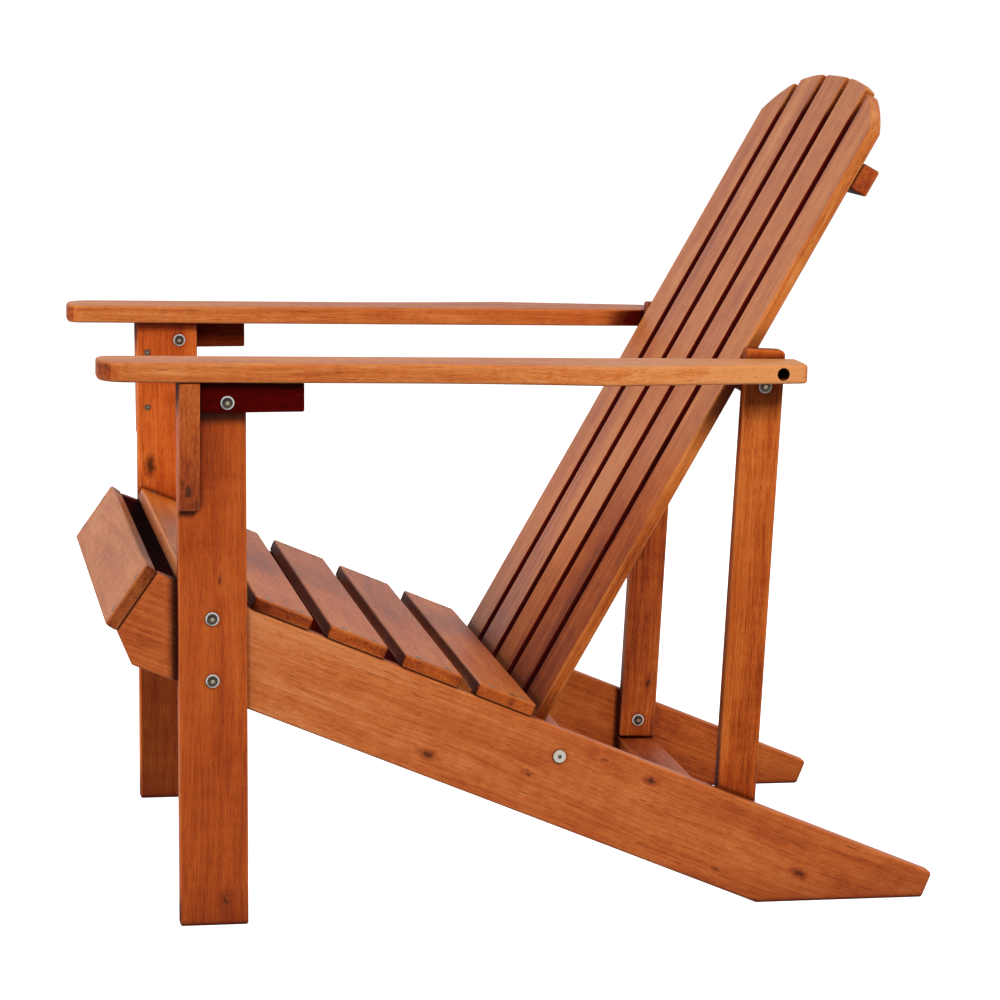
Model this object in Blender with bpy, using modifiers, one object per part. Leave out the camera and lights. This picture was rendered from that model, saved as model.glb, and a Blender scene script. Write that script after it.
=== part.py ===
"""Adirondack chair: a knock-down garden chair of oiled acacia boards, held together with M6 furniture bolts.

Frame: X across the chair (+X is the sitter's left), -Y the front, +Y the back, +Z up. The origin is on the
floor, at the centre of the chair's bounding box. Units are metres and radians.
"""
import math

import bmesh
import bpy
from mathutils import Matrix, Vector

# ---------------------------------------------------------------- driving dimensions
OVERALL_DEPTH = 0.8759
FIT_GAP = 0.0003                    # clearance between touching pieces
EDGE_RADIUS = 0.0025                # every board has its edges eased
BOARD = 0.020                       # thickness of the frame's boards
SLAT = 0.014                        # thickness of the seat's and apron's boards
BACK_SLAT = 0.013                   # thickness of the back's boards

SEAT_HALF_WIDTH = 0.3035            # to the outer faces of the side rails
RAIL_REACH = 0.8770                 # from the arm's front end to the rail's rear corner, before it is rounded
RAIL_HEIGHT = 0.097                 # across the board
RAIL_ANGLE = math.radians(22.45)    # the rail slopes down towards the back
RAIL_END_HEIGHT = 0.0265            # the top corner of its rear end, above the floor
RAIL_NOSE_DEPTH = 0.059             # the front end's upper cut, which carries the apron, in height
RAIL_NOSE_REACH = 0.0415            # the same cut, forwards
RAIL_HEEL_DROP = 0.0355             # the front end's lower cut, in height
RAIL_HEEL_REACH = 0.0150            # the same cut, backwards
RAIL_NOSE_SETBACK = 0.0198          # from the leg's front face forward to the rail's top front corner
RAIL_CORNER = 0.0040

LEG_WIDTH = 0.0700
LEG_SETBACK = 0.0800                # from the arm's front end to the leg's front face

ARM_FRONT_HEIGHT = 0.5635           # underside, above the leg's front face
ARM_SLOPE = math.radians(0.97)      # the arm falls a little towards the back
ARM_LENGTH = 0.7260
ARM_OUTER_X = 0.3580                # outer edge over the leg
ARM_WIDEST_X = 0.3760               # outer edge where the paddle is widest
ARM_WIDEST_AT = 0.5130              # from the front end
ARM_FLARE_FROM = 0.3300             # from the front end
ARM_REAR_X = 0.3430                 # outer edge at the rear end
ARM_EDGE_RADIUS = 0.0030
ARM_OUTER_CORNER = 0.030
ARM_INNER_CORNER = 0.016
ARM_REAR_CORNER = 0.008
ARM_REAR_INNER_CORNER = 0.005
ARM_FLARE_POWER = 1.6               # how late the flare opens out

CORBEL_THICKNESS = 0.0214           # along Y
CORBEL_HEIGHT = 0.1320
CORBEL_TOP = 0.0320                 # reach from the leg at the top
CORBEL_FOOT = 0.0115                # reach from the leg at the bottom
CLEAT_LENGTH = 0.1050
CLEAT_HEIGHT = 0.0320
BLOCK_EDGE_RADIUS = 0.0020          # corbels and cleats

UPRIGHT_WIDTH = 0.0416
UPRIGHT_LEAN = math.radians(3.18)
UPRIGHT_AT_FLOOR = 0.5616           # its front face, carried down to the floor, behind the leg's front face
UPRIGHT_FOOT = 0.0670
UPRIGHT_TOP = 0.5835
UPRIGHT_TOP_CORNER = 0.006

SEAT_SLATS = 5
SEAT_SLAT_WIDTH = 0.0640
SEAT_SLAT_PITCH = 0.0834
SEAT_LAST_START = 0.3321            # the last slat's front edge, down the rail from above the leg's front face
APRON_HEIGHT = 0.0735
APRON_RISE = 0.0008                 # its upper edge stands this far past the rail's corner

BACK_SLATS = 5
BACK_HALF_WIDTH = 0.2604
BACK_GAP = 0.0212
BACK_LEAN = math.radians(29.79)     # from the vertical
BACK_AT_FLOOR = 0.2635              # front plane, carried down to the floor, behind the leg's front face
BACK_FOOT = 0.1800                  # distances along the slope, measured from the floor
BACK_CROWN = 0.9868
BACK_CROWN_DROP = 0.0535            # from the middle of the crown to its outer corners
BACK_CROWN_POWER = 3.0              # how flat the crown's middle is

BATTEN_HEIGHT = 0.0300              # along the back's slope
BATTEN_DEPTH = 0.0420               # square to the back
LOWER_BATTEN_AT = 0.2070            # centres, along the slope
MIDDLE_BATTEN_AT = 0.6458
UPPER_BATTEN_AT = 0.8840
UPPER_BATTEN_DEPTH = 0.0200
UPPER_BATTEN_HALF_WIDTH = 0.2585
STRETCHER_WIDTH = 0.0416

SHANK_RADIUS = 0.0030               # M6
SHANK_HOLE_RADIUS = 0.0034
HEAD_RADIUS = 0.0052
HEAD_HEIGHT = 0.0033
SOCKET_ACROSS_FLATS = 0.0040
SOCKET_DEPTH = 0.0019
WASHER_RADIUS = 0.0070
WASHER_THICKNESS = 0.0012
FLAT_HEAD_RADIUS = 0.0068           # joint connector bolt
FLAT_HEAD_HEIGHT = 0.0022
SLEEVE_RADIUS = 0.0042
SLEEVE_BORE_RADIUS = 0.0033
SLEEVE_LENGTH = 0.0150
BARREL_RADIUS = 0.0050
BARREL_LENGTH = 0.0150
SLEEVE_FLOOR = 0.0015               # between the sleeve's bore and its head
COUNTERBORE_RADIUS = 0.0067
COUNTERSUNK_WASHER_RADIUS = 0.0062  # the washer in the arm's counterbore
TURNED_EDGE = 0.0006                # chamfer of a connector bolt's head and of a barrel nut
WASHER_EDGE = 0.0003
OVERCUT = 0.0020                    # how far a drill runs past a board's face
TURNING_STEPS = 18

# ---------------------------------------------------------------- derived positions
ARM_FRONT_Y = -OVERALL_DEPTH / 2
LEG_FRONT_Y = ARM_FRONT_Y + LEG_SETBACK
RAIL_BACK_Y = ARM_FRONT_Y + RAIL_REACH
RAIL_INNER_X = SEAT_HALF_WIDTH - BOARD
LEG_INNER_X = SEAT_HALF_WIDTH + FIT_GAP
LEG_OUTER_X = LEG_INNER_X + BOARD
BLOCK_INNER_X = LEG_OUTER_X + FIT_GAP
UPRIGHT_OUTER_X = RAIL_INNER_X - FIT_GAP
UPRIGHT_INNER_X = UPRIGHT_OUTER_X - BOARD

SIDES = {"left": 1, "right": -1}

# A flat outline drawn in (x, y) stands up in the chair's YZ plane, or in its XZ plane.
FACING_X = (math.pi / 2, 0, math.pi / 2)
FACING_FRONT = (math.pi / 2, 0, 0)


# ---------------------------------------------------------------- scene and materials
def clear_scene():
    for old in list(bpy.data.objects):
        bpy.data.objects.remove(old)


def new_collection(name):
    collection = bpy.data.collections.new(name)
    bpy.context.scene.collection.children.link(collection)
    return collection


def make_material(name, color, roughness, metallic=0.0):
    material = bpy.data.materials.new(name)
    material.use_nodes = True
    material.diffuse_color = (*color, 1.0)
    shader = material.node_tree.nodes["Principled BSDF"]
    shader.inputs["Base Color"].default_value = (*color, 1.0)
    shader.inputs["Roughness"].default_value = roughness
    shader.inputs["Metallic"].default_value = metallic
    return material


def place(piece, name, collection, material=None):
    """Names a piece, gives it its material and moves it to its collection."""
    piece.name = name
    piece.data.name = name
    for other in list(piece.users_collection):
        other.objects.unlink(piece)
    collection.objects.link(piece)
    if material:
        piece.data.materials.clear()
        piece.data.materials.append(material)
    return piece


# ---------------------------------------------------------------- shapes
def ease_edges(piece, radius=EDGE_RADIUS):
    bevel = piece.modifiers.new("eased_edges", "BEVEL")
    bevel.width = radius
    bevel.segments = 3
    bevel.limit_method = "ANGLE"
    bevel.angle_limit = math.radians(35)
    return piece


def straight_board(name, size, location, tilt, material, radius=EDGE_RADIUS):
    """A board with square ends. Its size is along X, Y and Z before it tilts about X."""
    bpy.ops.mesh.primitive_cube_add(size=1.0, location=location, rotation=(tilt, 0, 0))
    piece = place(bpy.context.object, name, PARTS, material)
    piece.data.transform(Matrix.Diagonal((*size, 1.0)))
    return ease_edges(piece, radius)


def rounded_outline(corners, steps=5):
    """Turns corners (x, y, radius) into points, with an arc of steps + 1 points where the radius isn't 0."""
    points = []
    for index, (x, y, radius) in enumerate(corners):
        if radius == 0:
            points.append(Vector((x, y)))
            continue
        corner = Vector((x, y))
        before = (Vector(corners[index - 1][:2]) - corner).normalized()
        after = (Vector(corners[(index + 1) % len(corners)][:2]) - corner).normalized()
        half_angle = before.angle(after) / 2
        centre = corner + (before + after).normalized() * radius / math.sin(half_angle)
        start = corner + before * radius / math.tan(half_angle) - centre
        end = corner + after * radius / math.tan(half_angle) - centre
        for step in range(steps + 1):
            points.append(centre + start.normalized().slerp(end.normalized(), step / steps) * radius)
    return points


def outline_board(name, points, thickness, location, rotation, material, radius=EDGE_RADIUS):
    """A board cut to an outline: a filled 2D curve with thickness, made a welded mesh with eased edges."""
    curve = bpy.data.curves.new(name, "CURVE")
    curve.dimensions = "2D"
    curve.fill_mode = "BOTH"
    curve.extrude = thickness / 2
    spline = curve.splines.new("POLY")
    spline.points.add(len(points) - 1)
    for point, corner in zip(spline.points, points):
        point.co = (corner[0], corner[1], 0.0, 1.0)
    spline.use_cyclic_u = True
    drawn = bpy.data.objects.new(name + "_outline", curve)
    PARTS.objects.link(drawn)
    drawn.location = location
    drawn.rotation_euler = rotation
    bpy.context.view_layer.update()
    evaluated = drawn.evaluated_get(bpy.context.evaluated_depsgraph_get())
    mesh = bpy.data.meshes.new_from_object(evaluated)
    welded = bmesh.new()
    welded.from_mesh(mesh)
    bmesh.ops.remove_doubles(welded, verts=welded.verts, dist=0.00002)
    bmesh.ops.dissolve_limit(welded, angle_limit=math.radians(1), verts=welded.verts, edges=welded.edges)
    bmesh.ops.recalc_face_normals(welded, faces=welded.faces)
    welded.to_mesh(mesh)
    welded.free()
    piece = bpy.data.objects.new(name, mesh)
    piece.matrix_world = drawn.matrix_world.copy()
    bpy.data.objects.remove(drawn)
    place(piece, name, PARTS, material)
    return ease_edges(piece, radius)


def cutter_rod(name, radius, start, end, sides=TURNING_STEPS):
    """A cylinder from start to end that only cuts."""
    start = Vector(start)
    end = Vector(end)
    axis = end - start
    rod = bmesh.new()
    bmesh.ops.create_cone(
        rod, cap_ends=True, segments=sides, radius1=radius, radius2=radius, depth=axis.length)
    mesh = bpy.data.meshes.new(name)
    rod.to_mesh(mesh)
    rod.free()
    piece = bpy.data.objects.new(name, mesh)
    piece.location = (start + end) / 2
    piece.rotation_euler = axis.to_track_quat("Z", "Y").to_euler()
    piece.hide_render = True
    piece.display_type = "WIRE"
    CUTTERS.objects.link(piece)
    return piece


def cut(piece, cutter):
    difference = piece.modifiers.new(cutter.name, "BOOLEAN")
    difference.operation = "DIFFERENCE"
    difference.object = cutter
    difference.solver = "EXACT"
    return piece


def drill(piece, radius, x_from, x_to, y, z):
    """A round hole along X."""
    hole = cutter_rod(f"{piece.name}_hole_{len(piece.modifiers)}", radius, (x_from, y, z), (x_to, y, z))
    return cut(piece, hole)


def turned(name, profile, location, direction, material):
    """A turned piece on an axis. The profile's (radius, height) points run down its outer side."""
    mesh = bpy.data.meshes.new(name)
    points = bmesh.new()
    corners = [points.verts.new((radius, 0.0, height)) for radius, height in profile]
    for upper, lower in zip(corners, corners[1:]):
        points.edges.new((upper, lower))
    points.to_mesh(mesh)
    points.free()
    piece = bpy.data.objects.new(name, mesh)
    place(piece, name, PARTS, material)
    piece.location = location
    piece.rotation_euler = Vector(direction).to_track_quat("Z", "Y").to_euler()
    screw = piece.modifiers.new("turning", "SCREW")
    screw.steps = TURNING_STEPS
    screw.render_steps = TURNING_STEPS
    screw.use_merge_vertices = True
    screw.merge_threshold = 0.00002
    screw.use_smooth_shade = True
    return piece


# ---------------------------------------------------------------- fasteners
def hex_socket(piece, depth, head_height):
    """A hexagon socket in the top of a head whose seat is at the piece's own origin."""
    radius = SOCKET_ACROSS_FLATS / math.sqrt(3)
    direction = piece.rotation_euler.to_matrix() @ Vector((0, 0, 1))
    top = piece.location + direction * (head_height + FIT_GAP)
    bottom = piece.location + direction * (head_height - depth)
    return cut(piece, cutter_rod(piece.name + "_socket", radius, bottom, top, sides=6))


def button_dome():
    """The top of a button head, from its flat middle out to its rim."""
    angles = [math.radians(angle) for angle in (28, 48, 68, 90)]
    dome = [(HEAD_RADIUS * math.sin(angle), HEAD_HEIGHT * (0.3 + 0.7 * math.cos(angle))) for angle in angles]
    return [(0.0, dome[0][1])] + dome


def button_bolt(name, seat, direction, shank_length):
    """A domed socket-head bolt. Its seat is the underside of its head."""
    profile = button_dome() + [
        (HEAD_RADIUS, 0.0),
        (SHANK_RADIUS, 0.0),
        (SHANK_RADIUS, -shank_length),
        (0.0, -shank_length),
    ]
    return hex_socket(turned(name, profile, seat, direction, STEEL), SOCKET_DEPTH, profile[0][1])


def connector_bolt(name, seat, direction, shank_length):
    """A joint connector bolt: a broad flat head with a hexagon socket."""
    profile = [
        (0.0, FLAT_HEAD_HEIGHT),
        (FLAT_HEAD_RADIUS - TURNED_EDGE, FLAT_HEAD_HEIGHT),
        (FLAT_HEAD_RADIUS, FLAT_HEAD_HEIGHT - TURNED_EDGE),
        (FLAT_HEAD_RADIUS, 0.0),
        (SHANK_RADIUS, 0.0),
        (SHANK_RADIUS, -shank_length),
        (0.0, -shank_length),
    ]
    return hex_socket(turned(name, profile, seat, direction, STEEL), SOCKET_DEPTH, FLAT_HEAD_HEIGHT)


def sleeve_nut(name, seat, direction):
    """A sleeve nut: the same domed head on a tube that takes the bolt's end."""
    profile = button_dome() + [
        (HEAD_RADIUS, 0.0),
        (SLEEVE_RADIUS, 0.0),
        (SLEEVE_RADIUS, -SLEEVE_LENGTH),
        (SLEEVE_BORE_RADIUS, -SLEEVE_LENGTH),
        (SLEEVE_BORE_RADIUS, -SLEEVE_FLOOR),
        (0.0, -SLEEVE_FLOOR),
    ]
    return hex_socket(turned(name, profile, seat, direction, STEEL), SOCKET_DEPTH, profile[0][1])


def washer(name, seat, direction, radius=WASHER_RADIUS, hole=SHANK_HOLE_RADIUS):
    """A plain washer that lies on the face at seat."""
    profile = [
        (hole, WASHER_THICKNESS),
        (radius - WASHER_EDGE, WASHER_THICKNESS),
        (radius, WASHER_THICKNESS - WASHER_EDGE),
        (radius, 0.0),
        (hole, 0.0),
        (hole, WASHER_THICKNESS),
    ]
    return turned(name, profile, seat, direction, ZINC)


def bolt_and_washer(name, face_x, y, z, outward, shank_length, washer_radius=WASHER_RADIUS):
    """A washer on a face that points along X, and a button bolt on it."""
    direction = (outward, 0, 0)
    washer_x = face_x + outward * FIT_GAP
    head_x = washer_x + outward * (WASHER_THICKNESS + FIT_GAP)
    washer(name + "_washer", (washer_x, y, z), direction, washer_radius)
    button_bolt(name, (head_x, y, z), direction, shank_length)


# ---------------------------------------------------------------- lines that several pieces share
def rail_top(y):
    """Height of the rail's top edge at y."""
    return RAIL_END_HEIGHT + (RAIL_BACK_Y - y) * math.tan(RAIL_ANGLE)


def on_rail(along, above):
    """(y, z) of a point along the rail's slope, from above the leg's front face, and above its top edge."""
    y = LEG_FRONT_Y + along * math.cos(RAIL_ANGLE) + above * math.sin(RAIL_ANGLE)
    z = rail_top(LEG_FRONT_Y) - along * math.sin(RAIL_ANGLE) + above * math.cos(RAIL_ANGLE)
    return y, z


def on_back(along, behind):
    """(y, z) of a point up the back's slope, and behind its front plane."""
    y = LEG_FRONT_Y + BACK_AT_FLOOR + along * math.sin(BACK_LEAN) + behind * math.cos(BACK_LEAN)
    z = along * math.cos(BACK_LEAN) - behind * math.sin(BACK_LEAN)
    return y, z


def on_upright(z, across):
    """y of a point on the upright at height z, from its front face."""
    return LEG_FRONT_Y + UPRIGHT_AT_FLOOR + z * math.tan(UPRIGHT_LEAN) + across / math.cos(UPRIGHT_LEAN)


def arm_underside(y):
    return ARM_FRONT_HEIGHT - (y - LEG_FRONT_Y) * math.tan(ARM_SLOPE)


# ---------------------------------------------------------------- bolt positions
LEG_BOLTS = {"upper": (LEG_FRONT_Y + 0.0343, 0.3187), "lower": (LEG_FRONT_Y + 0.0343, 0.2548)}
CLEAT_BOLT = (LEG_FRONT_Y + 0.0492, 0.5415)
FOOT_BOLT = (on_upright(0.0866, UPRIGHT_WIDTH / 2), 0.0866)
RAIL_BOLT = on_back(LOWER_BATTEN_AT, BACK_SLAT + BATTEN_DEPTH / 2)
BATTEN_BOLT = on_back(MIDDLE_BATTEN_AT, BACK_SLAT + BATTEN_DEPTH / 2)
ARM_BOLT_Y = on_upright(0.5626, UPRIGHT_WIDTH / 2) + 0.0050
ARM_BOLT = (ARM_BOLT_Y, arm_underside(ARM_BOLT_Y) + BOARD / 2)
BARREL_INSET = 0.0200               # the barrel nut's axis, from the lower batten's end
CONNECTOR_HOLE_DEPTH = 0.0300       # into the lower batten's end
BATTEN_HOLE_DEPTH = 0.0280          # into the middle batten's end
BLIND_WALL = 0.0030                 # wood left at the bottom of a blind hole
ARM_SEAT_X = RAIL_INNER_X + 0.0200  # bottom of the arm's counterbore

# Shanks, from under the head.
THROUGH_SHANK = 2 * BOARD - 0.0020  # through one board and most of the next
CLEAT_SHANK = BOARD + 0.0140        # into the sleeve nut
BATTEN_SHANK = BOARD + 0.0260
ARM_SHANK = 2 * BOARD - 0.0010
CONNECTOR_SHANK = 0.0480


# ---------------------------------------------------------------- frame
def side_rail(side, sign):
    nose_y = LEG_FRONT_Y - RAIL_NOSE_SETBACK
    nose_z = rail_top(nose_y)
    lip_y = nose_y - RAIL_NOSE_REACH
    lip_z = nose_z - RAIL_NOSE_DEPTH
    heel_y = lip_y + RAIL_HEEL_REACH
    heel_z = lip_z - RAIL_HEEL_DROP
    drop = RAIL_HEIGHT / math.cos(RAIL_ANGLE)
    foot_y = RAIL_BACK_Y - (drop - RAIL_END_HEIGHT) / math.tan(RAIL_ANGLE)
    end_y = RAIL_BACK_Y - RAIL_END_HEIGHT * math.tan(RAIL_ANGLE)
    corners = [
        (nose_y, nose_z, 0),
        (lip_y, lip_z, 0),
        (heel_y, heel_z, RAIL_CORNER),
        (foot_y, 0.0, 0),
        (end_y, 0.0, 0),
        (RAIL_BACK_Y, RAIL_END_HEIGHT, RAIL_CORNER),
    ]
    rail = outline_board(
        f"side_rail_{side}", rounded_outline(corners, 3), BOARD,
        (sign * (SEAT_HALF_WIDTH - BOARD / 2), 0, 0), FACING_X, RAIL_WOOD)
    outer = sign * (SEAT_HALF_WIDTH + OVERCUT)
    inner = sign * (RAIL_INNER_X - OVERCUT)
    for y, z in LEG_BOLTS.values():
        drill(rail, SHANK_HOLE_RADIUS, outer, sign * (RAIL_INNER_X + BLIND_WALL), y, z)
    drill(rail, SHANK_HOLE_RADIUS, outer, inner, *RAIL_BOLT)
    drill(rail, SHANK_HOLE_RADIUS, inner, sign * (SEAT_HALF_WIDTH - BLIND_WALL), *FOOT_BOLT)


def front_leg(side, sign):
    front, rear = LEG_FRONT_Y, LEG_FRONT_Y + LEG_WIDTH
    corners = [
        (front, 0.0),
        (rear, 0.0),
        (rear, arm_underside(rear) - FIT_GAP),
        (front, arm_underside(front) - FIT_GAP),
    ]
    leg = outline_board(
        f"front_leg_{side}", corners, BOARD, (sign * (LEG_INNER_X + BOARD / 2), 0, 0), FACING_X, LEG_WOOD)
    outer = sign * (LEG_OUTER_X + OVERCUT)
    inner = sign * (LEG_INNER_X - OVERCUT)
    for y, z in LEG_BOLTS.values():
        drill(leg, SHANK_HOLE_RADIUS, outer, inner, y, z)
    drill(leg, SLEEVE_RADIUS + FIT_GAP, outer, inner, *CLEAT_BOLT)


def rear_upright(side, sign):
    lean = UPRIGHT_LEAN
    foot_front = (on_upright(UPRIGHT_FOOT, 0.0), UPRIGHT_FOOT)
    foot_rear = (foot_front[0] + UPRIGHT_WIDTH * math.cos(lean), foot_front[1] - UPRIGHT_WIDTH * math.sin(lean))
    top_front = (on_upright(UPRIGHT_TOP, 0.0), UPRIGHT_TOP)
    top_rear = (top_front[0] + UPRIGHT_WIDTH * math.cos(lean), top_front[1] - UPRIGHT_WIDTH * math.sin(lean))
    corners = [(*foot_front, 0), (*foot_rear, 0), (*top_rear, UPRIGHT_TOP_CORNER), (*top_front, 0)]
    upright = outline_board(
        f"rear_upright_{side}", rounded_outline(corners), BOARD,
        (sign * (UPRIGHT_OUTER_X - BOARD / 2), 0, 0), FACING_X, UPRIGHT_WOOD)
    outer = sign * (UPRIGHT_OUTER_X + OVERCUT)
    inner = sign * (UPRIGHT_INNER_X - OVERCUT)
    drill(upright, SHANK_HOLE_RADIUS, outer, inner, *FOOT_BOLT)
    drill(upright, SHANK_HOLE_RADIUS, outer, inner, *BATTEN_BOLT)
    drill(upright, SHANK_HOLE_RADIUS, outer, sign * (UPRIGHT_INNER_X + BLIND_WALL), *ARM_BOLT)


def rear_stretcher():
    """The board that lies between the rails, under the feet of both uprights."""
    foot_rear_z = UPRIGHT_FOOT - UPRIGHT_WIDTH * math.sin(UPRIGHT_LEAN)
    y = on_upright(UPRIGHT_FOOT, UPRIGHT_WIDTH / 2)
    size = (2 * UPRIGHT_OUTER_X, STRETCHER_WIDTH, BOARD)
    straight_board(
        "rear_stretcher", size, (0, y, foot_rear_z - FIT_GAP - BOARD / 2), 0.0, UPRIGHT_WOOD)


# ---------------------------------------------------------------- arms
def arm_outline():
    """The left arm from above, as (x, y) with y from its front end. Its inner edge is straight."""
    corners = [
        (RAIL_INNER_X, ARM_LENGTH, ARM_REAR_INNER_CORNER),
        (RAIL_INNER_X, 0.0, ARM_INNER_CORNER),
        (ARM_OUTER_X, 0.0, ARM_OUTER_CORNER),
    ]
    for step in range(7):
        share = step / 6
        x = ARM_OUTER_X + (ARM_WIDEST_X - ARM_OUTER_X) * share ** ARM_FLARE_POWER
        corners.append((x, ARM_FLARE_FROM + (ARM_WIDEST_AT - ARM_FLARE_FROM) * share, 0))
    corners.append((ARM_REAR_X, ARM_LENGTH, ARM_REAR_CORNER))
    return rounded_outline(corners)


def arm(side, sign):
    points = [(sign * x, y) for x, y in arm_outline()]
    centre_z = arm_underside(ARM_FRONT_Y) + BOARD / 2 / math.cos(ARM_SLOPE)
    board = outline_board(
        f"arm_{side}", points, BOARD, (0, ARM_FRONT_Y, centre_z), (-ARM_SLOPE, 0, 0), ARM_WOOD,
        radius=ARM_EDGE_RADIUS)
    drill(board, COUNTERBORE_RADIUS, sign * ARM_SEAT_X, sign * (ARM_WIDEST_X + OVERCUT), *ARM_BOLT)
    drill(board, SHANK_HOLE_RADIUS, sign * (RAIL_INNER_X - OVERCUT), sign * (ARM_SEAT_X + OVERCUT), *ARM_BOLT)


def arm_corbel(side, sign):
    """The tapered bracket on the leg's outer face, flush with its front, that carries the arm's overhang."""
    top = arm_underside(LEG_FRONT_Y + CORBEL_THICKNESS) - FIT_GAP
    inner = BLOCK_INNER_X
    corners = [
        (sign * inner, top - CORBEL_HEIGHT),
        (sign * (inner + CORBEL_FOOT), top - CORBEL_HEIGHT),
        (sign * (inner + CORBEL_TOP), top),
        (sign * inner, top),
    ]
    outline_board(
        f"arm_corbel_{side}", corners, CORBEL_THICKNESS, (0, LEG_FRONT_Y + CORBEL_THICKNESS / 2, 0),
        FACING_FRONT, LEG_WOOD, radius=BLOCK_EDGE_RADIUS)


def arm_cleat(side, sign):
    """The block under the arm, behind the corbel, that is bolted through the leg."""
    front = LEG_FRONT_Y + CORBEL_THICKNESS + 2 * FIT_GAP
    rear = front + CLEAT_LENGTH
    bottom = arm_underside(front) - CLEAT_HEIGHT
    corners = [
        (front, bottom),
        (rear, bottom),
        (rear, arm_underside(rear) - FIT_GAP),
        (front, arm_underside(front) - FIT_GAP),
    ]
    cleat = outline_board(
        f"arm_cleat_{side}", corners, BOARD, (sign * (BLOCK_INNER_X + BOARD / 2), 0, 0), FACING_X,
        ARM_WOOD, radius=BLOCK_EDGE_RADIUS)
    drill(cleat, SHANK_HOLE_RADIUS, sign * (BLOCK_INNER_X - OVERCUT),
          sign * (BLOCK_INNER_X + BOARD + OVERCUT), *CLEAT_BOLT)


# ---------------------------------------------------------------- seat
def seat_slat(index):
    start = SEAT_LAST_START - SEAT_SLAT_PITCH * (SEAT_SLATS - index)
    y, z = on_rail(start + SEAT_SLAT_WIDTH / 2, FIT_GAP + SLAT / 2)
    size = (2 * SEAT_HALF_WIDTH, SEAT_SLAT_WIDTH, SLAT)
    straight_board(f"seat_slat_{index}", size, (0, y, z), -RAIL_ANGLE, SEAT_WOOD)


def front_apron():
    """The board on the rails' angled front ends, under the knees."""
    lean = math.atan2(RAIL_NOSE_REACH, RAIL_NOSE_DEPTH)
    nose_y = LEG_FRONT_Y - RAIL_NOSE_SETBACK
    nose_z = rail_top(nose_y)
    outward = Vector((-math.cos(lean), math.sin(lean)))
    down = Vector((-math.sin(lean), -math.cos(lean)))
    centre = Vector((nose_y, nose_z)) + down * (APRON_HEIGHT / 2 - APRON_RISE) + outward * (FIT_GAP + SLAT / 2)
    size = (2 * SEAT_HALF_WIDTH, SLAT, APRON_HEIGHT)
    straight_board("front_apron", size, (0, *centre), -lean, SEAT_WOOD)


# ---------------------------------------------------------------- back
def crown_at(x):
    """How far up the slope the back reaches at x: a flat-topped arch."""
    return BACK_CROWN - BACK_CROWN_DROP * abs(x / BACK_HALF_WIDTH) ** BACK_CROWN_POWER


def back_slat(index):
    width = (2 * BACK_HALF_WIDTH - (BACK_SLATS - 1) * BACK_GAP) / BACK_SLATS
    centre_x = (index - (BACK_SLATS + 1) / 2) * (width + BACK_GAP)
    left, right = centre_x + width / 2, centre_x - width / 2
    top = [(right + width * step / 6, crown_at(right + width * step / 6)) for step in range(7)]
    points = [(left, BACK_FOOT), (right, BACK_FOOT)] + top
    y, z = on_back(0.0, BACK_SLAT / 2)
    outline_board(
        f"back_slat_{index}", points, BACK_SLAT, (0, y, z), (math.pi / 2 - BACK_LEAN, 0, 0), BACK_WOOD)


def back_batten(name, along, depth, half_width):
    y, z = on_back(along, BACK_SLAT + FIT_GAP + depth / 2)
    size = (2 * half_width, BATTEN_HEIGHT, depth)
    return straight_board(name, size, (0, y, z), math.pi / 2 - BACK_LEAN, UPRIGHT_WOOD)


def drill_ends(batten, half_width, depth, bolt):
    """A hole into each end of a batten, for its bolts."""
    for sign in SIDES.values():
        drill(batten, SHANK_HOLE_RADIUS, sign * (half_width + OVERCUT), sign * (half_width - depth), *bolt)


def middle_batten():
    half_width = UPRIGHT_INNER_X - FIT_GAP
    batten = back_batten("middle_back_batten", MIDDLE_BATTEN_AT, BATTEN_DEPTH, half_width)
    drill_ends(batten, half_width, BATTEN_HOLE_DEPTH, BATTEN_BOLT)


def lower_batten():
    """Between the rails, behind the slats' feet, with a cross hole at each end for its barrel nut."""
    batten = back_batten("lower_back_batten", LOWER_BATTEN_AT, BATTEN_DEPTH, UPRIGHT_OUTER_X)
    drill_ends(batten, UPRIGHT_OUTER_X, CONNECTOR_HOLE_DEPTH, RAIL_BOLT)
    for side, sign in SIDES.items():
        x = sign * (UPRIGHT_OUTER_X - BARREL_INSET)
        middle = BACK_SLAT + BATTEN_DEPTH / 2
        hole_low = on_back(LOWER_BATTEN_AT - BATTEN_HEIGHT / 2 - OVERCUT, middle)
        hole_end = on_back(LOWER_BATTEN_AT + BARREL_LENGTH / 2 + FIT_GAP, middle)
        cutter = cutter_rod(f"barrel_hole_{side}", BARREL_RADIUS + FIT_GAP, (x, *hole_low), (x, *hole_end))
        cut(batten, cutter)
        barrel_nut(f"barrel_nut_{side}", x)


def barrel_nut(name, x):
    """A cross dowel with a clear bore for the connector bolt."""
    half = BARREL_LENGTH / 2
    profile = [
        (0.0, half),
        (BARREL_RADIUS - TURNED_EDGE, half),
        (BARREL_RADIUS, half - TURNED_EDGE),
        (BARREL_RADIUS, TURNED_EDGE - half),
        (BARREL_RADIUS - TURNED_EDGE, -half),
        (0.0, -half),
    ]
    direction = (0, math.sin(BACK_LEAN), math.cos(BACK_LEAN))
    nut = turned(name, profile, (x, *RAIL_BOLT), direction, ZINC)
    drill(nut, SLEEVE_BORE_RADIUS, x - 2 * BARREL_RADIUS, x + 2 * BARREL_RADIUS, *RAIL_BOLT)


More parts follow.
